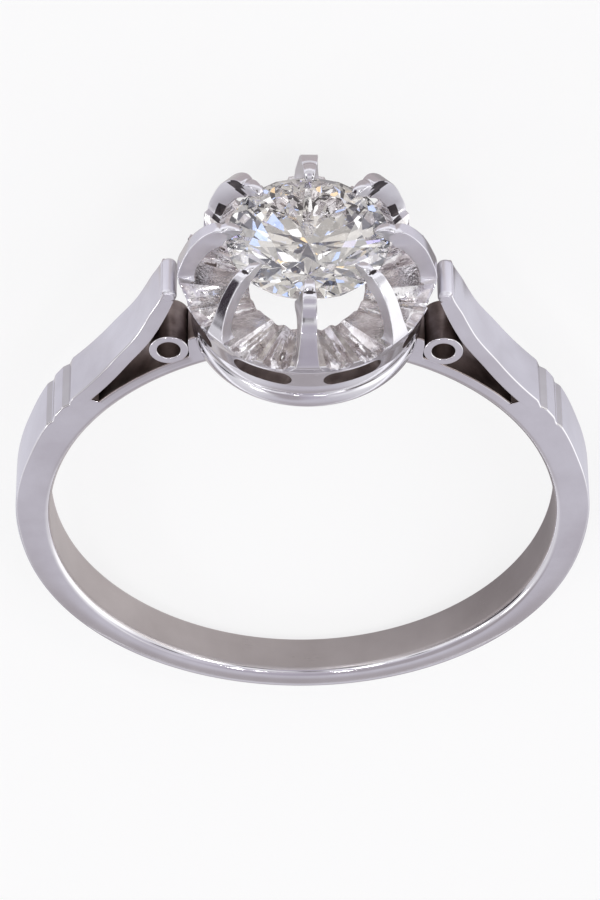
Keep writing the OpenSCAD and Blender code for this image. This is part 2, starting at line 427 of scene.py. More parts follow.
class NodeTree:
    """Short way to add and link the nodes of one material or world."""

    def __init__(self, owner: bpy.types.Material | bpy.types.World) -> None:
        """Empties a node tree and keeps it.

        Args:
            owner: The material or world that the tree belongs to.
        """
        owner.use_nodes = True
        self.tree = owner.node_tree
        self.tree.nodes.clear()

    def feed(self, socket: Socket, value: object) -> None:
        """Gives an input its value.

        Args:
            socket: The input.
            value: A number, a vector, a colour, another socket, or a node that feeds it.
        """
        if isinstance(value, Node):
            value = value.outputs[0]
        if isinstance(value, Socket):
            self.tree.links.new(value, socket)
        else:
            socket.default_value = (*value, 1.0) if socket.type == "RGBA" else value

    def add(self, kind: str, **values: object) -> Node:
        """Adds a node.

        Args:
            kind: The node's type without the word ShaderNode.
            values: Properties of the node, or what feeds its inputs, with blanks written as _.

        Returns:
            The new node.
        """
        node = self.tree.nodes.new("ShaderNode" + kind)
        for key, value in values.items():
            if hasattr(node, key):
                setattr(node, key, value)
            else:
                self.feed(node.inputs[key.replace("_", " ")], value)
        return node

    def rise(self, value: object, low: float, high: float) -> Node:
        """Adds a soft rise from 0 to 1.

        Args:
            value: What feeds it.
            low: Where it is 0.
            high: Where it is 1.

        Returns:
            The new node.
        """
        return self.add(
            "MapRange", interpolation_type="SMOOTHSTEP", Value=value, From_Min=low, From_Max=high
        )

    def blend(self, share: object, first: object, second: object) -> Socket:
        """Adds a mix of two colours.

        Args:
            share: How much of the second colour there is.
            first: A colour or what feeds it.
            second: A colour or what feeds it.

        Returns:
            The mixed colour's socket.
        """
        node = self.add("Mix", data_type="RGBA")
        for index, value in ((0, share), (6, first), (7, second)):
            self.feed(node.inputs[index], value)
        return node.outputs[2]

    def ramp(
        self, share: object, stops: Sequence[tuple[float, Colour]], stepped: bool = False
    ) -> Node:
        """Adds a colour ramp.

        Args:
            share: What drives the ramp.
            stops: Places from 0 to 1 and their colours.
            stepped: Whether the colour jumps at each stop.

        Returns:
            The new node.
        """
        node = self.add("ValToRGB", Fac=share)
        node.color_ramp.interpolation = "CONSTANT" if stepped else "LINEAR"
        elements = node.color_ramp.elements
        elements.remove(elements[1])
        elements[0].position = stops[0][0]
        for number, (position, colour) in enumerate(stops):
            element = elements.new(position) if number else elements[0]
            element.color = (*colour, 1.0)
        return node

    def math(self, operation: str, *values: object) -> Node:
        """Adds a Math node.

        Args:
            operation: What it works out.
            values: One or two numbers or what feeds them.

        Returns:
            The new node.
        """
        node = self.add("Math", operation=operation)
        for socket, value in zip(node.inputs, values):
            self.feed(socket, value)
        return node

    def choose(self, share: object, first: Node, second: Node) -> Node:
        """Adds a mix of two shaders.

        Args:
            share: How much of the second shader there is.
            first: The first shader.
            second: The second shader.

        Returns:
            The new node.
        """
        node = self.add("MixShader", Fac=share)
        for socket, shader in zip(node.inputs[1:], (first, second)):
            self.feed(socket, shader)
        return node


@dataclass(frozen=True)
class MetalFinish:
    """White metal with tone that drifts, fine polishing lines and small pits."""

    name: str
    light: Colour
    dark: Colour
    smooth: float
    rough: float
    drift_scale: float = 350.0
    drift_span: Span = (0.36, 0.66)
    line_depth: float = 0.15
    line_height: float = 0.000004
    line_stretch: tuple[float, float, float] = (900.0, 26000.0, 900.0)
    wear_span: Span = (0.6, 1.4)
    pit_depth: float = 0.0
    pit_height: float = 0.00003
    pit_scale: float = 9000.0

    def material(self) -> bpy.types.Material:
        """Builds the finish.

        Returns:
            The new material.
        """
        material = bpy.data.materials.new(self.name)
        nodes = NodeTree(material)
        spot = nodes.add("TexCoord").outputs["Object"]
        tilt = SIZES.rest_matrix().to_euler()[0]
        upright = nodes.add("Mapping", Vector=spot, Rotation=(tilt, 0, 0))
        drift = nodes.add(
            "TexNoise", Vector=upright, Scale=self.drift_scale, Detail=5.0, Roughness=0.55
        )
        tone = nodes.ramp(drift, tuple(zip(self.drift_span, (self.dark, self.light))))
        stretched = nodes.add("Mapping", Vector=upright, Scale=self.line_stretch)
        lines = nodes.add("TexNoise", Vector=stretched, Scale=1.0, Detail=3.0, Roughness=0.6)
        low, high = self.wear_span
        gloss = nodes.add(
            "MapRange", Value=nodes.math("ADD", lines, drift), From_Min=low, From_Max=high,
            To_Min=self.smooth, To_Max=self.rough,
        )
        relief = nodes.add(
            "Bump", Strength=self.line_depth, Distance=self.line_height, Height=lines
        )
        if self.pit_depth:
            pits = nodes.add(
                "TexNoise", Vector=upright, Scale=self.pit_scale, Detail=2.0, Roughness=0.6
            )
            relief = nodes.add(
                "Bump", Strength=self.pit_depth, Distance=self.pit_height, Height=pits,
                Normal=relief,
            )
        metal = nodes.add(
            "BsdfPrincipled", Metallic=1.0, Base_Color=tone, Roughness=gloss, Normal=relief
        )
        nodes.add("OutputMaterial", Surface=metal)
        return material


@dataclass(frozen=True)
class StoneFinish:
    """Clear brilliant-cut stone, whose fire is painted as coloured flashes in the studio that only
    rays through it see.
    """

    name: str = "brilliant_stone"
    tint: Colour = (0.985, 0.975, 0.955)
    light_bending: float = 2.417

    def material(self) -> bpy.types.Material:
        """Builds the finish.

        Returns:
            The new material.
        """
        material = bpy.data.materials.new(self.name)
        nodes = NodeTree(material)
        stone = nodes.add(
            "BsdfPrincipled", Roughness=0.0, IOR=self.light_bending, Base_Color=self.tint,
            Transmission_Weight=1.0,
        )
        nodes.add("OutputMaterial", Surface=stone)
        return material


class Finish(Enum):
    """The finishes of the ring."""

    POLISHED = MetalFinish(
        "polished_white_metal", (0.83, 0.82, 0.85), (0.73, 0.715, 0.745), 0.08, 0.2
    )
    WORN = MetalFinish("worn_white_metal", (0.83, 0.82, 0.85), (0.72, 0.70, 0.725), 0.06, 0.13)
    BRUSHED = MetalFinish(
        "brushed_white_metal", (0.86, 0.85, 0.89), (0.78, 0.77, 0.81), 0.28, 0.4
    )
    # Darker tone that paints shade on the lower flank of each groove and on the front claw's flanks
    SHADED_FLANK = MetalFinish("shaded_flank", (0.66, 0.64, 0.64), (0.58, 0.56, 0.56), 0.25, 0.4)
    # Near-black painted shade for patches on the back claws' flanks and in the front claws' tip
    # notches
    PAINTED_SHADE = MetalFinish(
        "painted_claw_shade", (0.12, 0.105, 0.11), (0.035, 0.03, 0.035), 0.25, 0.45, drift_scale=3500.0
    )
    SATIN = MetalFinish(
        "satin_bore", (0.70, 0.66, 0.66), (0.60, 0.56, 0.56), 0.26, 0.42, line_depth=0.4
    )
    # Dark brown painted shade for the windows, the rails' faces that look into them, and the tubes
    SHADED_RECESS = MetalFinish(
        "shaded_recess", (0.48, 0.41, 0.39), (0.20, 0.16, 0.15), 0.25, 0.5,
        drift_scale=900.0, line_depth=0.5,
    )
    # Darker painted shade for the slots' walls and the bore just behind them
    SHADED_SLOT_WALL = MetalFinish(
        "shaded_slot_wall", (0.54, 0.48, 0.47), (0.30, 0.26, 0.25), 0.25, 0.45, drift_scale=1600.0
    )
    BRIGHT_CUT = MetalFinish(
        "bright_cut_flutes", (1.0, 0.985, 0.99), (0.60, 0.56, 0.56), 0.03, 0.1,
        drift_scale=2400.0, pit_depth=0.22,
    )
    STONE = StoneFinish()


def hand_over(piece: Piece, *finishes: Finish, slot: str = "white_metal") -> Piece:
    """Dresses a finished upright piece, lays it down with the ring and ties it to the frame.

    Args:
        piece: The piece, upright and in millimetres.
        finishes: The finishes of its material slots in order, each built when first used.
        slot: Not used.

    Returns:
        The same piece.
    """
    for finish in (f.value for f in finishes):
        piece.data.materials.append(bpy.data.materials.get(finish.name) or finish.material())
    place(piece, SIZES.rest_matrix())
    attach(piece, "root")
    return piece


# Sub-assemblies


@dataclass
class Band:
    """The plain band: flat sides, a domed bottom, and a thinner rail under each window.

    Angles are in degrees from the top of the ring. A span says where something starts and where it
    is at its full.
    """

    start_angle: float = 18.5
    step_angle: float = 0.5
    rail: float = 0.55
    tip_angle: float = 48.9
    tip_span: Span = (0.7, -0.3)
    # Radius and angle from which the narrow end of a window is counted
    tip_foot: Span = (8.9, 48.9)
    tip_reach: float = 0.8
    floor_end: float = 49.3
    head_span: Span = (3.85, 3.5)
    inner_round: float = 0.26
    outer_round: float = 0.07
    round_steps: int = 5
    face_cuts: int = 5
    dome_cuts: int = 8
    bore_cuts: int = 4
    dome_span: Span = (1.2, -1.2)
    outer_share: float = 0.93
    front_sag: float = 0.09
    back_sag: float = 0.03
    front_swell: float = 0.07
    low_span: Span = (1.0, -8.0)
    front_span: Span = (0.5, 0.9)
    shoulder_swell: float = 0.1
    shoulder_span: Span = (72.0, 58.0)
    groove_angles: Span = (53.0, 58.8)
    groove_depth: float = 0.09
    groove_half_angle: float = 1.5

    def section(self) -> list[Vector]:
        """Draws the band's section at the top of the ring, before it is turned round.

        Returns:
            The section's corners in order.
        """
        inner, outer, half = SIZES.finger_radius, SIZES.outer_radius, SIZES.band_width / 2
        small, large, steps = self.outer_round, self.inner_round, self.round_steps
        low, high = inner + large, outer - small
        side = [between(low, high, n / self.face_cuts) for n in range(1, self.face_cuts)]
        dome = [n / self.dome_cuts for n in range(1, self.dome_cuts)]
        bore = [n / self.bore_cuts for n in range(1, self.bore_cuts)]
        return [
            *arc(Vector((0, half - large, low)), large, 270, 90, steps),
            *(Vector((0, half, r)) for r in side),
            *arc(Vector((0, half - small, high)), small, 0, 90, steps),
            *(Vector((0, between(half - small, small - half, share), outer)) for share in dome),
            *arc(Vector((0, small - half, high)), small, 90, 90, steps),
            *(Vector((0, -half, r)) for r in reversed(side)),
            *arc(Vector((0, large - half, low)), large, 180, 90, steps),
            *(Vector((0, between(large - half, half - large, share), inner)) for share in bore),
        ]

    def circle_distance(self, angle: float, centre_z: float, radius: float) -> float:
        """Gives how far a lifted circle is from the finger's axis at an angle in radians."""
        across = centre_z * math.sin(angle)
        return centre_z * math.cos(angle) + math.sqrt(radius**2 - across**2)

    def outer_at(self, degrees: float, y: float) -> float:
        """Gives the distance of the band's outer face from the finger's axis.

        Args:
            degrees: Angle from the top, from 0 to 180.
            y: Distance from the ring's middle plane.

        Returns:
            The radius there.
        """
        angle = math.radians(degrees)
        plain = self.circle_distance(angle, SIZES.outer_lift, SIZES.outer_radius)
        sag = SIZES.dome_radius - math.sqrt(SIZES.dome_radius**2 - y * y)
        dome_z = SIZES.outer_lift + SIZES.dome_lift
        domed = self.circle_distance(angle, dome_z, SIZES.dome_apex - sag)
        share = smoothstep(*self.dome_span, plain * math.cos(angle))
        radius = plain - max(0.0, plain - domed) * share
        radius += self.shoulder_swell * smoothstep(*self.shoulder_span, degrees)
        rail = SIZES.finger_radius + self.rail
        under_window = smoothstep(*self.tip_span, degrees - self.tip_angle)
        at_head = smoothstep(*self.head_span, rail * math.sin(angle))
        radius += (rail - radius) * under_window * (1 - at_head)
        for groove in self.groove_angles:
            share = 1 - abs(degrees - groove) / self.groove_half_angle
            radius -= self.groove_depth * max(0.0, share)
        return radius

    def settle(self, point: Vector) -> Vector:
        """Gives a point of the turned section its place on the real band.

        Args:
            point: A point of the plain turned band.

        Returns:
            Its final place.
        """
        radius, degrees = round_finger(point)
        height = radius * math.cos(math.radians(degrees))
        y = point.y / (SIZES.band_width / 2) * SIZES.half_width(height)
        share = (radius - SIZES.finger_radius) / (SIZES.outer_radius - SIZES.finger_radius)
        low_down = smoothstep(*self.low_span, height)
        sag = self.front_sag if y < 0 else self.back_sag
        y *= 1 - sag * share**3 * low_down
        if y < 0:
            middle = 4 * share * (1 - share)
            y -= self.front_swell * low_down * middle * smoothstep(*self.front_span, -y)
        low = SIZES.finger_radius + self.inner_round
        if share > self.outer_share:
            radius = self.outer_at(degrees, y) - (SIZES.outer_radius - radius)
        elif radius > low:
            part = (radius - low) / (SIZES.outer_radius - self.outer_round - low)
            radius = between(low, self.outer_at(degrees, y) - self.outer_round, part)
        unit = Vector((point.x, 0, point.z)).normalized()
        return unit * radius + Vector((0, y, 0))

    def build(self) -> list[Piece]:
        """Models the band.

        Returns:
            The finished band.
        """
        piece = outline("band", self.section())
        piece.data.transform(Matrix.Rotation(math.radians(self.start_angle), 4, "Y"))
        sweep = 360 - 2 * self.start_angle
        steps, angle = round(sweep / self.step_angle), math.radians(sweep)
        with editing(piece):
            bpy.ops.mesh.spin(steps=steps, angle=angle, center=(0, 0, 0), axis=(0, -1, 0))
            for side in (-1, 1):
                select(piece, Pick.EDGES, lambda m, n, s=side: s * m.x > 0 and self.at_end(m))
                bpy.ops.mesh.edge_face_add()
        shape(piece, self.settle)
        tidy(piece)
        paint(piece, 1, self.in_bore)
        # Painted shade on each window's floor and narrow end
        paint(piece, 2, self.in_window)
        # Painted shade on the lower flank of each groove
        paint(piece, 3, self.on_shaded_groove_flank)
        polish(piece)
        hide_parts("ring_mount")
        return [hand_over(piece, Finish.WORN, Finish.SATIN, Finish.SHADED_RECESS, Finish.SHADED_FLANK)]

    def at_end(self, point: Vector) -> bool:
        """Tells whether a point lies on one of the two end faces next to the head."""
        return abs(round_finger(point)[1] - self.start_angle) < NEAR

    def in_bore(self, middle: Vector, normal: Vector) -> bool:
        """Tells whether a face lies on the finger."""
        return round_finger(middle)[0] < SIZES.finger_radius + NEAR and abs(normal.y) < 0.8

    def looks_out(self, middle: Vector, normal: Vector) -> bool:
        """Tells whether a face looks away from the finger."""
        return normal.x * middle.x + normal.z * middle.z > 0.5 * round_finger(middle)[0]

    def on_shaded_groove_flank(self, middle: Vector, normal: Vector) -> bool:
        """Tells whether a face is the lower flank of one of the filed grooves, which is painted darker
        as shade.
        """
        past = (round_finger(middle)[1] - groove for groove in self.groove_angles)
        return any(0 < a < self.groove_half_angle for a in past) and self.looks_out(middle, normal)

    def at_tip(self, middle: Vector, normal: Vector) -> bool:
        """Tells whether a face is the narrow end of a window."""
        above, past = (a - b for a, b in zip(round_finger(middle), self.tip_foot))
        return above > 0 and abs(past) < self.tip_reach and abs(normal.y) < 0.7

    def in_window(self, middle: Vector, normal: Vector) -> bool:
        """Tells whether a face is the floor or the narrow end of a window under a shoulder."""
        on_floor = round_finger(middle)[1] < self.floor_end and self.looks_out(middle, normal)
        return on_floor or self.at_tip(middle, normal)


@dataclass
class Shoulder:
    """The swept upper rail of one side, its bead at the top end and its drilled tube."""

    start_angle: float = 50.0
    sweep_radius: float = 14.0
    sweep_angle: float = 24.0
    sweep_steps: int = 72
    rail: float = 0.55
    proud: float = 0.004
    edge_round: float = 0.06
    edge_steps: int = 3
    foot_buried: float = 1.1
    swell: float = 0.105
    swell_span: Span = (15.0, 8.0)
    bead_taper: float = 0.08
    taper_span: Span = (18.5, 22.3)
    bead_x: float = 4.47
    bead_z: float = 10.98
    bead_radius: float = 0.27
    bead_proud: float = 0.01
    bead_round: float = 0.16
    bead_sides: int = 40
    tube_x: float = 4.47
    tube_z: float = 8.5
    tube_radius: float = 0.65
    tube_inset: float = 0.015
    tube_round: float = 0.045
    tube_sides: int = 72
    hole_radius: float = 0.38

    @property
    def foot_way(self) -> Vector:
        """Returns the direction from the centre of the sweep to the rail's foot."""
        angle = math.radians(self.start_angle)
        return Vector((-math.sin(angle), 0, -math.cos(angle)))

    @property
    def sweep_centre(self) -> Vector:
        """Works out the centre of the hollow sweep, on the right-hand side.

        Returns:
            The centre.
        """
        angle = math.radians(self.start_angle)
        reach = SIZES.outer_radius + self.sweep_radius
        return Vector((reach * math.sin(angle), 0, SIZES.outer_lift + reach * math.cos(angle)))

    def rail_piece(self) -> Piece:
        """Models the right-hand rail.

        Returns:
            The rail, upright.
        """
        size = self.edge_round
        side = SIZES.band_width / 2 - size
        near, far = self.sweep_radius + size, self.sweep_radius + self.rail - size
        way = Matrix.Rotation(math.radians(-self.foot_buried), 3, "Y") @ self.foot_way
        spots = []
        corners = ((side, far), (-side, far), (-side, near), (side, near))
        for n, (y, reach) in enumerate(corners):
            for spot in arc(Vector((0, y, reach)), size, 90 * n, 90, self.edge_steps):
                spots.append(self.sweep_centre + way * spot.z + Vector((0, spot.y, 0)))
        piece = outline("shoulder_rail_right", spots)
        bead = Vector((self.bead_x, 0, self.bead_z))
        away = bead - self.sweep_centre
        with editing(piece):
            bpy.ops.mesh.spin(
                steps=self.sweep_steps, angle=math.radians(self.sweep_angle),
                center=self.sweep_centre, axis=(0, -1, 0),
            )
            bpy.ops.mesh.select_all(action="DESELECT")
            bpy.ops.mesh.select_mode(type=Pick.EDGES.value)
            bpy.ops.mesh.select_non_manifold()
            bpy.ops.mesh.edge_face_add()
            bpy.ops.mesh.select_all(action="SELECT")
            bpy.ops.mesh.bisect(
                plane_co=bead, plane_no=(away.z, 0, -away.x), use_fill=True, clear_outer=True
            )
        shape(piece, self.settle)
        tidy(piece)
        # Painted shade on the rail's faces that look into the window
        paint(piece, 1, self.in_window)
        return piece

    def in_window(self, middle: Vector, normal: Vector) -> bool:
        """Tells whether a face of the rail looks into the window."""
        away = Vector((middle.x, 0, middle.z)) - self.sweep_centre
        return away.length > self.sweep_radius + 0.4 * self.rail and abs(normal.y) < 0.5

    def settle(self, point: Vector) -> Vector:
        """Gives the rail the band's width, a fuller back near its foot and a blunt window end.

        Args:
            point: A point of the plain rail.

        Returns:
            Its final place.
        """
        away = Vector((point.x, 0, point.z)) - self.sweep_centre
        along = math.degrees(away.angle(self.foot_way))
        shift = self.swell * smoothstep(*self.swell_span, along)
        if away.length < self.sweep_radius + self.rail / 2:
            shift -= self.bead_taper * smoothstep(*self.taper_span, along)
        moved = point - away.normalized() * shift
        share = point.y / (SIZES.band_width / 2)
        return Vector((moved.x, share * (SIZES.half_width(moved.z) + self.proud), moved.z))

    def bead_piece(self) -> Piece:
        """Models the right-hand bead.

        Returns:
            The bead, upright.
        """
        spot = Vector((self.bead_x, 0, self.bead_z))
        length = 2 * (SIZES.half_width(self.bead_z) + self.bead_proud)
        piece = cylinder(
            "shoulder_bead_right", self.bead_sides, self.bead_radius, spot, length, math.pi / 2
        )
        with editing(piece):
            select(piece, Pick.FACES, lambda m, n: abs(n.y) > SQUARE)
            bpy.ops.mesh.bevel(offset=self.bead_round, segments=6, affect="EDGES")
        return piece

    def tube_piece(self) -> Piece:
        """Models the right-hand tube.

        Returns:
            The tube, upright.
        """
        spot = Vector((self.tube_x, 0, self.tube_z))
        length = 2 * (SIZES.half_width(self.tube_z) - self.tube_inset)
        piece = cylinder(
            "shoulder_tube_right", self.tube_sides, self.tube_radius, spot, length, math.pi / 2
        )
        with editing(piece):
            select(piece, Pick.FACES, lambda m, n: abs(n.y) > SQUARE)
            bpy.ops.mesh.inset(thickness=self.tube_radius - self.hole_radius, depth=0)
            bpy.ops.mesh.bridge_edge_loops()
        apply_modifier(
            piece, "BEVEL", width=self.tube_round, segments=3, limit_method="ANGLE", angle_limit=1.0
        )
        wall = self.hole_radius + 0.01
        # Painted shade on the tube's round side and in its hole
        paint(piece, 1, lambda m, n: abs(n.y) < 0.3 or math.dist(m.xz, spot.xz) < wall)
        return piece

    def build(self) -> list[Piece]:
        """Models both shoulders.

        Returns:
            The finished pieces of both sides.
        """
        made = []
        for piece in (self.rail_piece(), self.bead_piece(), self.tube_piece()):
            left = duplicate(piece, piece.name.replace("right", "left"))
            place(left, Matrix.Scale(-1, 4, Vector((1, 0, 0))))
            finish = Finish.BRUSHED if "bead" in piece.name else Finish.WORN
            for side in (piece, left):
                polish(side)
                made.append(hand_over(side, finish, Finish.SHADED_RECESS))
        return made


@dataclass
class HeadShell:
    """Gallery ring, slotted basket and bright-cut cup, turned as one shell."""

    seed: int = 11
    columns_per_bay: int = 64
    inner_radius: float = 3.15
    slot_foot_radius: float = 3.8
    slot_low: float = 10.17
    slot_high: float = 10.85
    slot_length: float = 2.0
    slot_steps: int = 12
    slot_reach: Span = (3.02, 4.52)
    slot_wall_span: Span = (3.0, 3.93)
    wall_foot_z: float = 10.94
    band_foot_radius: float = 3.95
    rim_radius: float = 4.2
    rim_z: float = 11.52
    hole_radius: float = 1.88
    hole_z: float = 10.82
    thickness: float = 0.24
    rim_depth: float = 0.5
    hole_depth: float = 0.12
    edge: float = 0.05
    post_rows: int = 4
    wall_rows: int = 6
    top_rows: int = 30
    under_lift: float = 0.07
    under_slope: float = 0.03
    under_radii: Span = (2.6, 3.05)
    bore_heights: tuple[float, ...] = (10.35, 9.9, 9.45)
    polish_angle: float = 24.0
    gallery: tuple[Span, ...] = (
        # Radius and height, from the inner foot up the outside to the slots
        (3.15, 9.05), (3.2, 9.0), (3.62, 9.0), (3.68, 9.03), (3.715, 9.1), (3.735, 9.2),
        (3.745, 9.32), (3.74, 9.44), (3.725, 9.53), (3.7, 9.58), (3.655, 9.61),
        (3.64, 9.66), (3.655, 9.71), (3.72, 9.735), (3.76, 9.77), (3.785, 9.85),
        (3.795, 9.98), (3.795, 10.08), (3.79, 10.13), (3.8, 10.17),
    )
    column_knots: tuple[tuple[int, float], ...] = (
        # Column and angle inside a bay
        (0, 0.0), (5, 8.0), (30, 21.6), (34, 23.4), (59, 37.0), (64, 45.0),
    )
    scoops: tuple[Span, ...] = ((8.0, 21.7), (23.3, 37.0))
    scoop_curve: float = 1.75
    ridge_drop: float = 0.13
    ridge_span: Span = (6.0, 0.6)
    facet_shares: tuple[float, ...] = (-1.0, -0.72, -0.42, -0.12, 0.16, 0.46, 0.74, 1.0)
    facet_play: float = 0.32
    facet_slip: float = 0.35
    facet_zigzag: float = 0.6
    facet_wave: Span = (2.0, 6.0)
    rough_height: float = 0.028
    rough_scales: Span = (4.2, 9.0)
    fine_share: float = 0.6
    hole_roughness: float = 0.35
    streak_height: float = 0.016
    streak_scales: Span = (0.75, 0.9)
    marks_span: Span = (0.12, 0.24)
    lip_roll: float = 0.1
    lip_span: Span = (0.8, 1.0)
    lip_cut_span: Span = (0.12, 0.3)

    def __post_init__(self) -> None:
        """Draws the facets of each scoop, which differ a little as hand cuts do."""
        chance = random.Random(self.seed)
        self.facets: list[list[Span]] = []
        for _ in range(SIZES.claw_count * len(self.scoops)):
            knots = []
            for number, share in enumerate(self.facet_shares):
                play = 0.0 if abs(share) == 1 else self.facet_play
                loose = self.facet_slip * play * chance.uniform(-1, 1)
                deep = play * (self.facet_zigzag * (-1) ** number + chance.uniform(-0.5, 0.5))
                knots.append((share + loose, deep))
            self.facets.append(knots)

    def out(self, r: float) -> float:
        """Gives how far a radius lies from the cup's hole to its rim, as a share."""
        return (r - self.hole_radius) / (self.rim_radius - self.hole_radius)

    def plate_z(self, r: float) -> float:
        """Gives the height of the uncut plate at a radius."""
        return between(self.hole_z, self.rim_z, self.out(r))

    def depth(self, r: float) -> float:
        """Gives the depth of the scoops at a radius."""
        return between(self.hole_depth, self.rim_depth, self.out(r))

    def wall_r(self, z: float) -> float:
        """Gives the radius of the cup's outer wall at a height above the slots."""
        share = (z - self.wall_foot_z) / (self.rim_z - self.wall_foot_z)
        return between(self.band_foot_radius, self.rim_radius, share)

    def section(self) -> list[Vector]:
        """Draws the shell's section, from the gallery ring's inner foot outwards.

        Returns:
            Its corners in order, radius along X.
        """
        rows = list(self.gallery)
        for share in (n / self.post_rows for n in range(1, self.post_rows + 1)):
            r = between(self.slot_foot_radius, self.band_foot_radius, share)
            rows.append((r, between(self.slot_low, self.wall_foot_z, share)))
        for n in range(1, self.wall_rows + 1):
            z = between(self.wall_foot_z, self.rim_z - self.edge, n / self.wall_rows)
            rows.append((self.wall_r(z), z))
        for n in range(self.top_rows + 1):
            start, end = self.rim_radius - self.edge, self.hole_radius + self.edge
            r = between(start, end, n / self.top_rows)
            rows.append((r, self.plate_z(r)))
        below = self.hole_z - self.thickness
        rows.append((self.hole_radius, self.hole_z - self.edge))
        rows.append((self.hole_radius, below + self.edge))
        rows.append((self.hole_radius + self.edge, below))
        under = below + self.under_lift
        rows += [(r, under + self.under_slope * (r - 3)) for r in self.under_radii]
        rows += [(self.inner_radius, z) for z in (below - 0.01, *self.bore_heights)]
        return [Vector((r, 0, z)) for r, z in rows]

    def cut(self, r: float, degrees: float) -> float:
        """Gives how deep the cup is cut at a place.

        Args:
            r: Distance from the head's axis.
            degrees: Angle round the head.

        Returns:
            The depth below the uncut plate.
        """
        bay, inside = divmod(degrees, BAY)
        ridge = smoothstep(*self.ridge_span, abs(inside - BAY / 2))
        worn_down = self.ridge_drop * self.out(r) * ridge
        radial, sideways = self.facet_wave
        for n, (low, high) in enumerate(self.scoops):
            if not low < inside < high:
                continue
            share = 2 * (inside - low) / (high - low) - 1
            heights = []
            for s, extra in self.facets[(int(bay) % SIZES.claw_count) * len(self.scoops) + n]:
                wave = 1 + extra * math.cos(radial * r + sideways * s)
                heights.append((s, (1 - abs(s) ** self.scoop_curve) * wave))
            for (s0, h0), (s1, h1) in zip(heights, heights[1:]):
                if s0 <= share <= s1:
                    scooped = self.depth(r) * (h0 + (h1 - h0) * (share - s0) / (s1 - s0))
                    return max(scooped, worn_down)
        return worn_down

    def tool_marks(self, r: float, degrees: float) -> float:
        """Gives the small rises and streaks that the graver leaves in the cup.

        Args:
            r: Distance from the head's axis.
            degrees: Angle round the head.

        Returns:
            The height to add.
        """
        angle = math.radians(degrees)
        flat = Vector((r * math.cos(angle), r * math.sin(angle), 0))
        round_way, out_way = self.streak_scales
        streak = noise.noise(Vector((degrees * round_way, r * out_way, 3.0)))
        coarse, fine = self.rough_scales
        grain = noise.noise(flat * coarse) + self.fine_share * noise.noise(flat * fine)
        grain *= between(self.hole_roughness, 1.0, self.out(r))
        return self.streak_height * streak + self.rough_height * grain

    def settle(self, point: Vector) -> Vector:
        """Gives a point of the turned shell its place in the cut cup.

        Args:
            point: A point of the plain turned shell.

        Returns:
            Its final place.
        """
        r, z = math.hypot(point.x, point.y), point.z
        column = math.degrees(math.atan2(point.y, point.x)) % 360
        column /= 360 / (SIZES.claw_count * self.columns_per_bay)
        bay, inside = divmod(round(column), self.columns_per_bay)
        for (c0, a0), (c1, a1) in zip(self.column_knots, self.column_knots[1:]):
            if c0 <= inside <= c1:
                degrees = a0 + (a1 - a0) * (inside - c0) / (c1 - c0)
                break
        degrees += bay * BAY
        angle = math.radians(degrees)
        rim_z = self.rim_z - self.cut(self.rim_radius, degrees)
        on_wall = z > self.wall_foot_z + 0.001 and abs(r - self.wall_r(z)) < 0.002
        if on_wall:
            share = (z - self.wall_foot_z) / (self.rim_z - self.wall_foot_z)
            z = between(self.wall_foot_z, rim_z, share)
            r = self.wall_r(z)
        elif z > self.plate_z(r) - self.edge - 0.002:
            below = self.plate_z(r) - z
            share = self.out(r)
            r = between(self.hole_radius, self.wall_r(rim_z), share)
            cut = self.cut(r, degrees)
            z = self.plate_z(r) - cut - below
            if cut > 0.02:
                z += self.tool_marks(r, degrees) * smoothstep(*self.marks_span, cut)
                roll = smoothstep(*self.lip_span, share) * smoothstep(*self.lip_cut_span, cut)
                z -= self.lip_roll * roll
        return Vector((r * math.cos(angle), r * math.sin(angle), z))

    def slot_cutters(self) -> Piece:
        """Models the cutters of the eight slots.

        Returns:
            All the cutters as one object.
        """
        size = (self.slot_high - self.slot_low) / 2
        middle = (self.slot_high + self.slot_low) / 2
        near, far = self.slot_reach
        spots = []
        for y, start in ((self.slot_length / 2 - size, -90), (size - self.slot_length / 2, 90)):
            spots += arc(Vector((near, y, middle)), size, start, 180, self.slot_steps)
        first = outline("slot_cutters", spots, filled=True)
        with editing(first):
            bpy.ops.mesh.extrude_region_move(TRANSFORM_OT_translate={"value": (far - near, 0, 0)})
            face_outwards()
        place(first, Matrix.Rotation(math.radians(BAY / 2), 4, "Z"))
        copies = [duplicate(first, "slot_cutter") for _ in range(SIZES.claw_count - 1)]
        for n, copy in enumerate(copies, 1):
            place(copy, Matrix.Rotation(math.radians(BAY * n), 4, "Z"))
        only(first)
        for copy in copies:
            copy.select_set(True)
        bpy.ops.object.join()
        return first

    def build(self) -> list[Piece]:
        """Models the shell.

        Returns:
            The finished shell.
        """
        piece = outline("head_shell", self.section())
        with editing(piece):
            bpy.ops.mesh.spin(
                steps=SIZES.claw_count * self.columns_per_bay, angle=math.tau,
                center=(0, 0, 0), axis=(0, 0, 1), use_auto_merge=True,
            )
        tidy(piece)
        shape(piece, self.settle)
        cutters = self.slot_cutters()
        apply_modifier(piece, "BOOLEAN", operation="DIFFERENCE", object=cutters, solver="EXACT")
        bpy.data.objects.remove(cutters)
        paint(piece, 1, self.is_cut)
        paint(piece, 2, self.is_bore)
        # Painted shade in the slots and on the bore behind them
        paint(piece, 3, self.in_slot)
        polish(piece, self.polish_angle)
        finishes = (Finish.POLISHED, Finish.BRIGHT_CUT, Finish.SATIN, Finish.SHADED_SLOT_WALL)
        return [hand_over(piece, *finishes)]

    def is_cut(self, middle: Vector, normal: Vector) -> bool:
        """Tells whether a face lies in the fluted cup."""
        inside = middle.xy.length < self.wall_r(middle.z) - NEAR
        return inside and normal.z > 0.2 and middle.z > self.hole_z - 0.2

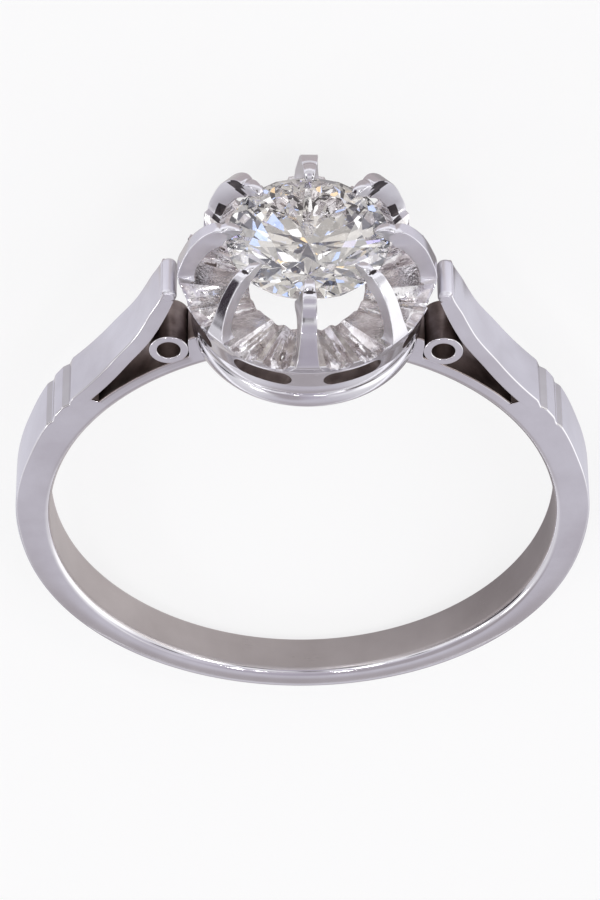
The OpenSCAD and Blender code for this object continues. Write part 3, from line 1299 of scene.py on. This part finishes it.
    def is_bore(self, middle: Vector, normal: Vector) -> bool:
        """Tells whether a face lies inside the basket."""
        return middle.xy.length < self.inner_radius + 0.02 and middle.z < self.hole_z - 0.1

    def in_slot(self, middle: Vector, normal: Vector) -> bool:
        """Tells whether a face belongs to a slot or to the bore just behind it, which get painted
        shade.

        Args:
            middle: The face's middle.
            normal: Its normal.

        Returns:
            True for such a face.
        """
        r = middle.xy.length
        in_height = within((self.slot_low - 0.02, self.slot_high + 0.02), middle.z)
        looks_out = normal.xy.dot(middle.xy) > 0.5 * r
        return in_height and within(self.slot_wall_span, r) and not looks_out


@dataclass
class Claws:
    """Eight tall flat claws, each drawn up from the cup and bent over the stone's edge."""

    cuts: int = 3
    edge_round: float = 0.04
    tip_dome: float = 0.06
    dome_span: Span = (3.05, 2.85)
    dome_way: Span = (-0.6, -0.8)
    sharp_angle: float = 38.0
    polish_angle: float = 34.0
    flank_z: float = 11.3
    flank_turn: float = 0.72
    # Claws whose tip notch is painted dark as shade
    shaded_notch_claws: tuple[int, ...] = (0, 1, 7)
    notch_span: Span = (2.76, 2.9)
    notch_half: float = 0.15
    # Claws that get patches of painted shade, the flank that gets them, and where they lie near the
    # tip and the foot
    shade_patch_claws: tuple[tuple[int, int], ...] = ((3, -1), (5, 1))
    tip_shade_span: Span = (2.72, 3.28)
    tip_shade_z: float = 13.0
    foot_shade_span: Span = (11.45, 11.95)
    foot_shade_r: float = 3.8
    width_span: Span = (11.2, 12.2)
    lean_span: Span = (11.6, 13.6)
    skew_span: Span = (13.3, 13.0)
    trims: tuple[tuple[float, float, float], ...] = (
        # Share of the width, lean of the tip, skew of the inner edge
        (0.98, 0.03, 0.34), (0.84, 0.05, 0.0), (0.92, -0.04, 0.1), (1.05, 0.03, 0.0),
        (1.15, -0.06, 0.0), (1.05, -0.02, 0.0), (0.92, 0.05, -0.1), (0.7, -0.02, 0.0),
    )
    stations: tuple[tuple[float, ...], ...] = (
        # Outer radius and height, inner radius and height, half the width, inner share of the
        # width, share of the wall's curve
        (3.88, 10.66, 3.42, 10.66, 0.50, 0.9, 1.0),
        (3.965, 10.95, 3.45, 10.95, 0.62, 0.9, 1.0),
        (4.03, 11.1, 3.5, 11.1, 0.60, 0.85, 1.0),
        (4.1, 11.25, 3.56, 11.25, 0.50, 0.8, 0.9),
        (4.165, 11.4, 3.62, 11.4, 0.43, 0.7, 0.6),
        (4.19, 11.52, 3.62, 11.5, 0.39, 0.6, 0.3),
        (4.165, 11.7, 3.58, 11.7, 0.365, 0.5, 0.0),
        (4.12, 11.9, 3.52, 11.88, 0.34, 0.46, 0.0),
        (4.045, 12.12, 3.42, 12.08, 0.315, 0.44, 0.0),
        (3.955, 12.38, 3.29, 12.3, 0.295, 0.44, 0.0),
        (3.86, 12.62, 3.15, 12.53, 0.28, 0.46, 0.0),
        (3.74, 12.86, 2.96, 12.74, 0.272, 0.5, 0.0),
        (3.6, 13.07, 2.72, 12.93, 0.264, 0.55, 0.0),
        (3.44, 13.26, 2.67, 13.08, 0.256, 0.6, 0.0),
        (3.24, 13.44, 2.58, 13.13, 0.248, 0.65, 0.0),
        (3.04, 13.56, 2.5, 13.165, 0.238, 0.7, 0.0),
        (2.88, 13.6, 2.44, 13.2, 0.225, 0.72, 0.0),
        (2.79, 13.575, 2.4, 13.225, 0.205, 0.75, 0.0),
        (2.71, 13.62, 2.35, 13.25, 0.192, 0.75, 0.0),
        (2.58, 13.66, 2.3, 13.28, 0.188, 0.75, 0.0),
        (2.42, 13.645, 2.24, 13.31, 0.175, 0.75, 0.0),
        (2.26, 13.58, 2.17, 13.34, 0.148, 0.75, 0.0),
        (2.14, 13.48, 2.1, 13.37, 0.105, 0.75, 0.0),
    )

    def station(self, row: Sequence[float]) -> list[Vector]:
        """Draws one section of the blade.

        Args:
            row: The station's radii, heights, half width and share of the wall's curve.

        Returns:
            The section's ten corners, at the angle 0.
        """
        outer_r, outer_z, inner_r, inner_z, half, inner_share, curve = row
        spots = []
        for share in (-1.0, -0.5, 0.0, 0.5, 1.0):
            y = share * half
            bent = math.sqrt(outer_r**2 - y * y) - outer_r
            drop = self.tip_dome * smoothstep(*self.dome_span, outer_r) * share * share
            in_way, down_way = self.dome_way
            r, z = outer_r + curve * bent + in_way * drop, outer_z + down_way * drop
            spots.append(Vector((r, y, z)))
        for share in (1.0, 0.0, -1.0):
            spots.append(Vector((inner_r, share * half * inner_share, inner_z)))
        spots.insert(5, (spots[4] + spots[5]) / 2)
        spots.append((spots[-1] + spots[0]) / 2)
        return spots

    def build(self) -> list[Piece]:
        """Models the claws.

        Returns:
            The eight finished claws.
        """
        rows = curve_through(self.stations, self.cuts)
        sections = [self.station(row) for row in rows]
        model = outline("claw_model", sections[0], filled=True)
        extrude_through(model, sections)
        apply_modifier(
            model, "BEVEL", width=self.edge_round, segments=3, limit_method="ANGLE",
            angle_limit=math.radians(self.sharp_angle), use_clamp_overlap=False,
        )
        paint(model, 1, lambda m, v: abs(v.y) > self.flank_turn and m.z > self.flank_z)
        made = []
        for n, trim in enumerate(self.trims):
            claw = duplicate(model, f"claw_{n + 1}")
            # Patches of painted shade on a back claw's flank and in a front claw's tip notch
            side = dict(self.shade_patch_claws).get(n, 0)
            paint(claw, 2, lambda m, v, side=side: side * v.y > 0.6 and self.in_shade_patch(m))
            if n in self.shaded_notch_claws:
                paint(claw, 2, self.in_shaded_notch)
            shape(claw, lambda p, trim=trim: self.vary(p, rows, *trim))
            place(claw, Matrix.Rotation(math.radians(BAY * n - 90), 4, "Z"))
            polish(claw, self.polish_angle)
            # The front claw's flanks are painted darker as shade
            flank = Finish.BRUSHED if n else Finish.SHADED_FLANK
            made.append(hand_over(claw, Finish.POLISHED, flank, Finish.PAINTED_SHADE))
        bpy.data.objects.remove(model)
        return made

    def in_shade_patch(self, middle: Vector) -> bool:
        """Tells whether a place on a back claw's flank gets a patch of painted shade, near the tip or
        the foot.
        """
        near_tip = within(self.tip_shade_span, middle.x) and middle.z > self.tip_shade_z
        return near_tip or middle.x < self.foot_shade_r and within(self.foot_shade_span, middle.z)

    def in_shaded_notch(self, middle: Vector, normal: Vector) -> bool:
        """Tells whether a face lies in the notch across a claw's tip, which is painted dark as shade.
        """
        across = within(self.notch_span, middle.x) and abs(middle.y) < self.notch_half
        return across and normal.z > 0.3

    def vary(
        self, point: Vector, rows: Sequence[Sequence[float]], wide: float, lean: float, skew: float
    ) -> Vector:
        """Makes one claw a little unlike the next, as hand work does.

        Args:
            point: A point of the model claw.
            rows: The stations of the claw.
            wide: Share of the width above the cup.
            lean: How far the tip leans aside.
            skew: How far the inner edge is turned aside, as a share of the claw's depth.

        Returns:
            The point's new place.
        """
        narrowed = smoothstep(*self.width_span, point.z)
        leant = smoothstep(*self.lean_span, point.z)
        y = point.y * (1 + (wide - 1) * narrowed) + lean * leant
        if skew and point.z < self.skew_span[0]:
            outer_r = min(rows, key=lambda row: abs(row[1] - point.z))[0]
            y -= skew * max(0.0, outer_r - point.x) * smoothstep(*self.skew_span, point.z)
        return Vector((point.x, y, point.z))


@dataclass
class Brilliant:
    """The stone, cut facet by facet from a round blank as a cutter would."""

    radius: float = 2.62
    girdle_z: float = 13.0
    girdle_half: float = 0.06
    table_share: float = 0.57
    crown_angle: float = 31.0
    pavilion_angle: float = 40.8
    star_share: float = 0.8
    lower_share: float = 0.22
    mains: int = 8
    blank_sides: int = 128
    weld: float = 1e-5

    def spot(self, r: float, number: float, z: float) -> Vector:
        """Gives the point at a radius, an angle counted in main facets and a height."""
        angle = math.tau * number / self.mains
        return Vector((r * math.cos(angle), r * math.sin(angle), z))

    def cut(self, *corners: Vector) -> None:
        """Grinds away all that lies outside the plane through three points.

        Args:
            corners: The three points.
        """
        a, b, c = corners
        normal = (b - a).cross(c - a).normalized()
        if normal.dot(a - Vector((0, 0, self.girdle_z))) < 0:
            normal.negate()
        bpy.ops.mesh.select_all(action="SELECT")
        bpy.ops.mesh.bisect(
            plane_co=a, plane_no=normal, use_fill=True, clear_outer=True, threshold=self.weld
        )

    def build(self) -> list[Piece]:
        """Cuts the stone.

        Returns:
            The finished stone.
        """
        radius, spot = self.radius, self.spot
        crown, pavilion = (
            math.tan(math.radians(angle)) for angle in (self.crown_angle, self.pavilion_angle)
        )
        top, bottom = self.girdle_z + self.girdle_half, self.girdle_z - self.girdle_half
        table_z = top + radius * (1 - self.table_share) * crown
        culet_z = bottom - radius * pavilion
        table_r, star_r, lower_r = (
            radius * share for share in (self.table_share, self.star_share, self.lower_share)
        )
        flat = math.cos(math.pi / self.mains)
        star_z = top + (radius - star_r * flat) * crown
        lower_z = bottom - (radius - lower_r * flat) * pavilion
        middle = Vector((0, 0, (table_z + culet_z) / 2))
        piece = cylinder("brilliant", self.blank_sides, radius, middle, table_z - culet_z, 0.0)
        with editing(piece):
            for k in range(self.mains):
                for z, tip in ((top, spot(table_r, k, table_z)), (bottom, spot(0, 0, culet_z))):
                    girdle = spot(radius, k, z)
                    self.cut(girdle, girdle + spot(1, k + 2, 0), tip)
            for k in range(self.mains):
                star, low = spot(star_r, k + 0.5, star_z), spot(lower_r, k + 0.5, lower_z)
                self.cut(spot(table_r, k, table_z), spot(table_r, k + 1, table_z), star)
                for end in (k, k + 1):
                    self.cut(star, spot(radius, end, top), spot(radius, k + 0.5, top))
                    self.cut(low, spot(radius, end, bottom), spot(radius, k + 0.5, bottom))
        tidy(piece, self.weld)
        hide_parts("diamond")
        return [hand_over(piece, Finish.STONE, slot="stone")]


# Studio


LAMP = (7.0, 7.0, 7.0)
SPARKLE = (60.0, 60.0, 60.0)
BLACK = (0.03, 0.02, 0.03)
GREY = (0.52, 0.49, 0.56)
WHITE = (1.0, 1.0, 1.0)
PALE = (0.95, 0.95, 0.95)


class Setting(Enum):
    """The floor and the world, each with its output node and its glowing node."""

    FLOOR = ("OutputMaterial", "Emission")
    WORLD = ("OutputWorld", "Background")


class Along(Enum):
    """The ways in which the floor's tones change: to the right, to both sides, or to the back."""

    RIGHT = "right"
    ASIDE = "aside"
    BACK = "back"


@dataclass(frozen=True)
class Tone:
    """A tone of the floor that comes in from low to high, in metres, one way along it."""

    along: Along
    low: float
    high: float
    colour: Colour


@dataclass(frozen=True)
class Card:
    """A soft round card or lamp in the studio that the metal and the stone mirror."""

    direction: tuple[float, float, float]
    half_angle: float
    softness: float
    colour: Colour


@dataclass
class Studio:
    """Plain pale floor, soft white surroundings with a few cards and lamps, and the camera."""

    elevation: float = 0.867227099
    azimuth: float = -0.0210166930
    roll: float = 0.0204982280
    distance: float = 183.758734
    aside: float = -0.0822218625
    above: float = 1.64022557
    focal_pixels: float = 5433.85667
    frame_height: int = 900
    sensor_width: float = 36.0
    floor_size: float = 1.2
    floor_shade: float = 0.22
    sky: tuple[tuple[float, Colour], ...] = (
        (0.30, (0.42, 0.40, 0.41)), (0.55, (0.75, 0.74, 0.78)), (0.95, (0.98, 0.98, 1.0)),
    )
    cards: tuple[Card, ...] = (
        Card((0.0, 0.86, 0.51), 26.0, 14.0, (0.62, 0.60, 0.66)),
        Card((0.0, 0.45, 0.89), 16.0, 8.0, GREY),
        Card((0.0, 0.0, 1.0), 10.0, 5.0, (0.54, 0.51, 0.58)),
        Card((0.0, -0.5, 0.87), 10.0, 5.0, GREY),
        Card((0.0, -0.87, 0.5), 10.0, 5.0, GREY),
        Card((0.955, 0.168, 0.242), 10.0, 3.0, BLACK),
        Card((0.945, -0.05, 0.3), 9.0, 3.0, BLACK),
        Card((0.92, -0.25, 0.3), 9.0, 3.0, BLACK),
        Card((0.87, -0.41, 0.27), 9.0, 3.0, BLACK),
        Card((0.78, -0.58, 0.21), 8.0, 3.0, BLACK),
        Card((-0.28, 0.08, 0.955), 13.0, 6.0, (0.62, 0.60, 0.67)),
        Card((-0.5, 0.2, 0.84), 12.0, 6.0, (0.66, 0.64, 0.71)),
        Card((0.26, 0.0, 0.965), 12.0, 6.0, (0.60, 0.58, 0.65)),
        Card((0.5, 0.15, 0.85), 12.0, 6.0, (0.64, 0.62, 0.69)),
        Card((0.0, 0.995, 0.05), 16.0, 13.0, (0.46, 0.43, 0.45)),
        Card((0.32, 0.38, 0.87), 14.0, 8.0, (0.42, 0.39, 0.42)),
        Card((0.22, 0.68, 0.7), 9.0, 6.0, (0.42, 0.39, 0.41)),
        Card((0.78, 0.1, 0.62), 4.0, 1.5, LAMP),
        Card((-0.5, -0.32, 0.8), 4.0, 1.5, LAMP),
        Card((0.32, -0.2, 0.92), 3.5, 1.5, LAMP),
        Card((-0.38, -0.75, 0.55), 3.5, 1.5, LAMP),
        Card((0.36, -0.84, 0.4), 3.5, 1.5, LAMP),
        Card((-0.9, 0.3, 0.28), 25.0, 6.0, (1.35, 1.35, 1.35)),
        Card((-0.93, -0.35, 0.1), 14.0, 5.0, (1.6, 1.6, 1.6)),
        Card((-0.5, -0.75, 0.4), 10.0, 6.0, (0.12, 0.10, 0.10)),
        Card((0.6, -0.2, 0.77), 4.0, 1.5, (0.05, 0.04, 0.05)),
        Card((0.05, -0.3, 0.95), 4.0, 1.5, (0.1, 0.09, 0.09)),
        Card((-0.6, 0.0, 0.8), 5.0, 2.0, (0.1, 0.09, 0.09)),
        Card((-0.72, -0.45, 0.52), 4.0, 1.5, LAMP),
        Card((0.62, 0.5, 0.6), 4.0, 1.5, LAMP),
        Card((0.3, -0.61, 0.73), 8.0, 3.0, (0.02, 0.018, 0.02)),
        Card((-0.3, -0.61, 0.73), 8.0, 3.0, (0.02, 0.018, 0.02)),
        Card((-0.23, 0.125, 0.965), 1.0, 0.3, SPARKLE),
        Card((-0.156, 0.115, 0.981), 0.6, 0.2, (30.0, 30.0, 30.0)),
        Card((0.141, 0.116, 0.983), 1.0, 0.3, SPARKLE),
    )
    # Tones in which the metal mirrors the floor under, beside, ahead of and behind the ring; the dark
    # ones under and just behind it are painted shadow
    under_shadow_tone: Colour = (0.30, 0.28, 0.29)
    under: tuple[Tone, ...] = (
        Tone(Along.RIGHT, -0.008, 0.006, (0.64, 0.61, 0.61)),
        Tone(Along.ASIDE, 0.0085, 0.0105, (0.70, 0.69, 0.76)),
    )
    beside_tone: Colour = (0.74, 0.73, 0.80)
    beside: tuple[Span, Span] = ((0.0068, 0.0078), (-0.0036, -0.0046))
    ahead_tone: Colour = (0.56, 0.51, 0.52)
    ahead_span: Span = (-0.0105, -0.0125)
    ahead: tuple[Tone, ...] = (
        Tone(Along.ASIDE, 0.003, 0.005, (0.80, 0.78, 0.86)),
        Tone(Along.ASIDE, 0.0095, 0.0115, (1.3, 1.3, 1.35)),
        Tone(Along.BACK, -0.019, -0.023, (1.1, 1.1, 1.15)),
    )
    behind: tuple[Tone, ...] = (
        # Painted shadow just behind the band
        Tone(Along.BACK, 0.011, 0.0125, (0.26, 0.24, 0.26)),
        Tone(Along.BACK, 0.018, 0.026, (0.72, 0.70, 0.76)),
        Tone(Along.BACK, 0.026, 0.06, (0.46, 0.43, 0.45)),
        Tone(Along.ASIDE, 0.02, 0.03, (1.2, 1.2, 1.25)),
    )
    # Painted flashes of fire and glints: coloured patches that glow only for rays through the stone
    flash_scale: float = 5.5
    floor_flash_scale: float = 190.0
    flashes: tuple[tuple[float, Colour], ...] = (
        (0.0, (0.05, 0.05, 0.07)), (0.22, (0.31, 0.30, 0.29)), (0.48, (0.55, 0.53, 0.51)),
        (0.68, (0.95, 0.95, 0.97)), (0.86, (0.5, 0.62, 1.0)), (0.91, (1.0, 0.72, 0.42)),
        (0.95, (0.55, 0.5, 0.9)),
    )
    flash_strength: float = 1.5
    bounces: int = 20

    def camera(self) -> None:
        """Puts the camera where the photograph was taken from."""
        e, a = self.elevation, self.azimuth
        back = Vector((math.sin(a) * math.cos(e), -math.cos(a) * math.cos(e), math.sin(e)))
        right = Vector((math.cos(a), math.sin(a), 0))
        up = back.cross(right)
        across = math.cos(self.roll) * right + math.sin(self.roll) * up
        upward = math.cos(self.roll) * up - math.sin(self.roll) * right
        rest = SIZES.rest_matrix()
        turn = rest.to_3x3() * (1 / MM)
        matrix = Matrix([turn @ way for way in (across, upward, back)]).transposed().to_4x4()
        spot = self.distance * back + self.aside * across + self.above * upward
        matrix.translation = rest @ spot
        lens = bpy.data.cameras.new("camera")
        lens.sensor_width = self.sensor_width
        lens.lens = self.sensor_width * self.focal_pixels / self.frame_height
        lens.clip_start = 0.01
        camera = bpy.data.objects.new("camera", lens)
        bpy.context.scene.collection.objects.link(camera)
        camera.matrix_world = matrix
        bpy.context.scene.camera = camera

    def floor(self) -> Piece:
        """Lays the plain pale floor, which the metal mirrors in other tones, with painted shadow under
        and behind the ring.

        Returns:
            The floor.
        """
        bpy.ops.object.select_all(action="DESELECT")
        bpy.ops.mesh.primitive_plane_add(size=self.floor_size)
        floor = bpy.context.object
        floor.name = "floor"
        material = bpy.data.materials.new("pale_floor")
        nodes = NodeTree(material)
        glow = nodes.add("Emission", Strength=1.0, Color=WHITE)
        matt = nodes.add("BsdfDiffuse", Color=PALE)
        spot = nodes.add("TexCoord").outputs["Object"]
        split = nodes.add("SeparateXYZ", Vector=spot)
        right, back = split.outputs["X"], split.outputs["Y"]
        aside = nodes.math("ABSOLUTE", right)
        ways = {Along.RIGHT: right, Along.ASIDE: aside, Along.BACK: back}
        tone = self.toned(nodes, ways, self.under_shadow_tone, self.under)
        rises = (nodes.rise(way, *span) for way, span in zip((aside, back), self.beside))
        tone = nodes.blend(nodes.math("MULTIPLY", *rises), tone, self.beside_tone)
        ahead = self.toned(nodes, ways, self.ahead_tone, self.ahead)
        tone = nodes.blend(nodes.rise(back, *self.ahead_span), tone, ahead)
        tone = self.toned(nodes, ways, tone, self.behind)
        seen = nodes.choose(self.floor_shade, glow, matt)
        mirrored = nodes.add("Emission", Strength=1.0, Color=tone)
        self.join_rays(nodes, Setting.FLOOR, (seen, mirrored), spot, self.floor_flash_scale)
        floor.data.materials.append(material)
        return floor

    def toned(
        self, nodes: NodeTree, ways: dict[Along, object], start: object, tones: Sequence[Tone]
    ) -> object:
        """Lays tones over one another.

        Args:
            nodes: The node tree of the floor.
            ways: What feeds the distance each way along the floor.
            start: The first tone.
            tones: The tones that come in after it.

        Returns:
            What feeds the last tone.
        """
        for tone in tones:
            rise = nodes.rise(ways[tone.along], tone.low, tone.high)
            start = nodes.blend(rise, start, tone.colour)
        return start

    def join_rays(
        self,
        nodes: NodeTree,
        setting: Setting,
        shaders: tuple[Node, Node],
        spot: Socket,
        scale: float,
    ) -> None:
        """Joins what the eye, the metal and the stone see of the studio; the stone sees painted
        flashes of fire and glints.

        Args:
            nodes: The node tree of the floor or the world.
            setting: Which of the two it is.
            shaders: The shader seen directly, and the one that the metal mirrors.
            spot: Place or direction, on which the stone's flashes are laid out.
            scale: Scale of the flashes.
        """
        seen, mirrored = shaders
        output, glow = setting.value
        cells = nodes.add("TexVoronoi", Vector=spot, Scale=scale)
        chance = nodes.add("SeparateColor", Color=cells.outputs["Color"])
        tones = nodes.ramp(chance, self.flashes, stepped=True)
        flash = nodes.add(glow, Strength=self.flash_strength, Color=tones)
        path = nodes.add("LightPath").outputs
        through = nodes.choose(path["Is Transmission Ray"], mirrored, flash)
        nodes.add(output, Surface=nodes.choose(path["Is Camera Ray"], through, seen))

    def surroundings(self) -> None:
        """Builds the world that lights the ring: pale where it is seen, cards where mirrored."""
        world = bpy.data.worlds.new("studio")
        bpy.context.scene.world = world
        nodes = NodeTree(world)
        way = nodes.add("TexCoord").outputs["Generated"]
        height = nodes.rise(nodes.add("SeparateXYZ", Vector=way).outputs["Z"], -1.0, 1.0)
        colour = nodes.ramp(height, self.sky)
        for card in self.cards:
            dot = nodes.add("VectorMath", operation="DOT_PRODUCT", Vector=way)
            dot.inputs[1].default_value = Vector(card.direction).normalized()
            edges = (card.half_angle + card.softness, max(0.0, card.half_angle - card.softness))
            low, high = (math.cos(math.radians(edge)) for edge in edges)
            colour = nodes.blend(nodes.rise(dot.outputs["Value"], low, high), colour, card.colour)
        lit = nodes.add("Background", Strength=1.0, Color=colour)
        plain = nodes.add("Background", Strength=1.0, Color=WHITE)
        self.join_rays(nodes, Setting.WORLD, (plain, lit), way, self.flash_scale)

    def build(self) -> list[Piece]:
        """Sets up the whole studio.

        Returns:
            The floor.
        """
        self.camera()
        self.surroundings()
        scene = bpy.context.scene
        scene.view_settings.view_transform = "Standard"
        scene.cycles.max_bounces = self.bounces
        scene.cycles.transmission_bounces = self.bounces
        scene.cycles.glossy_bounces = self.bounces // 2
        return [self.floor()]


def main() -> None:
    logging.basicConfig(level=logging.INFO, format="%(name)s: %(message)s")
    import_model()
    for assembly in (Band(), Shoulder(), HeadShell(), Claws(), Brilliant(), Studio()):
        for piece in assembly.build():
            log.info("%s: %d faces", piece.name, len(piece.data.polygons))


if __name__ == "__main__":
    main()
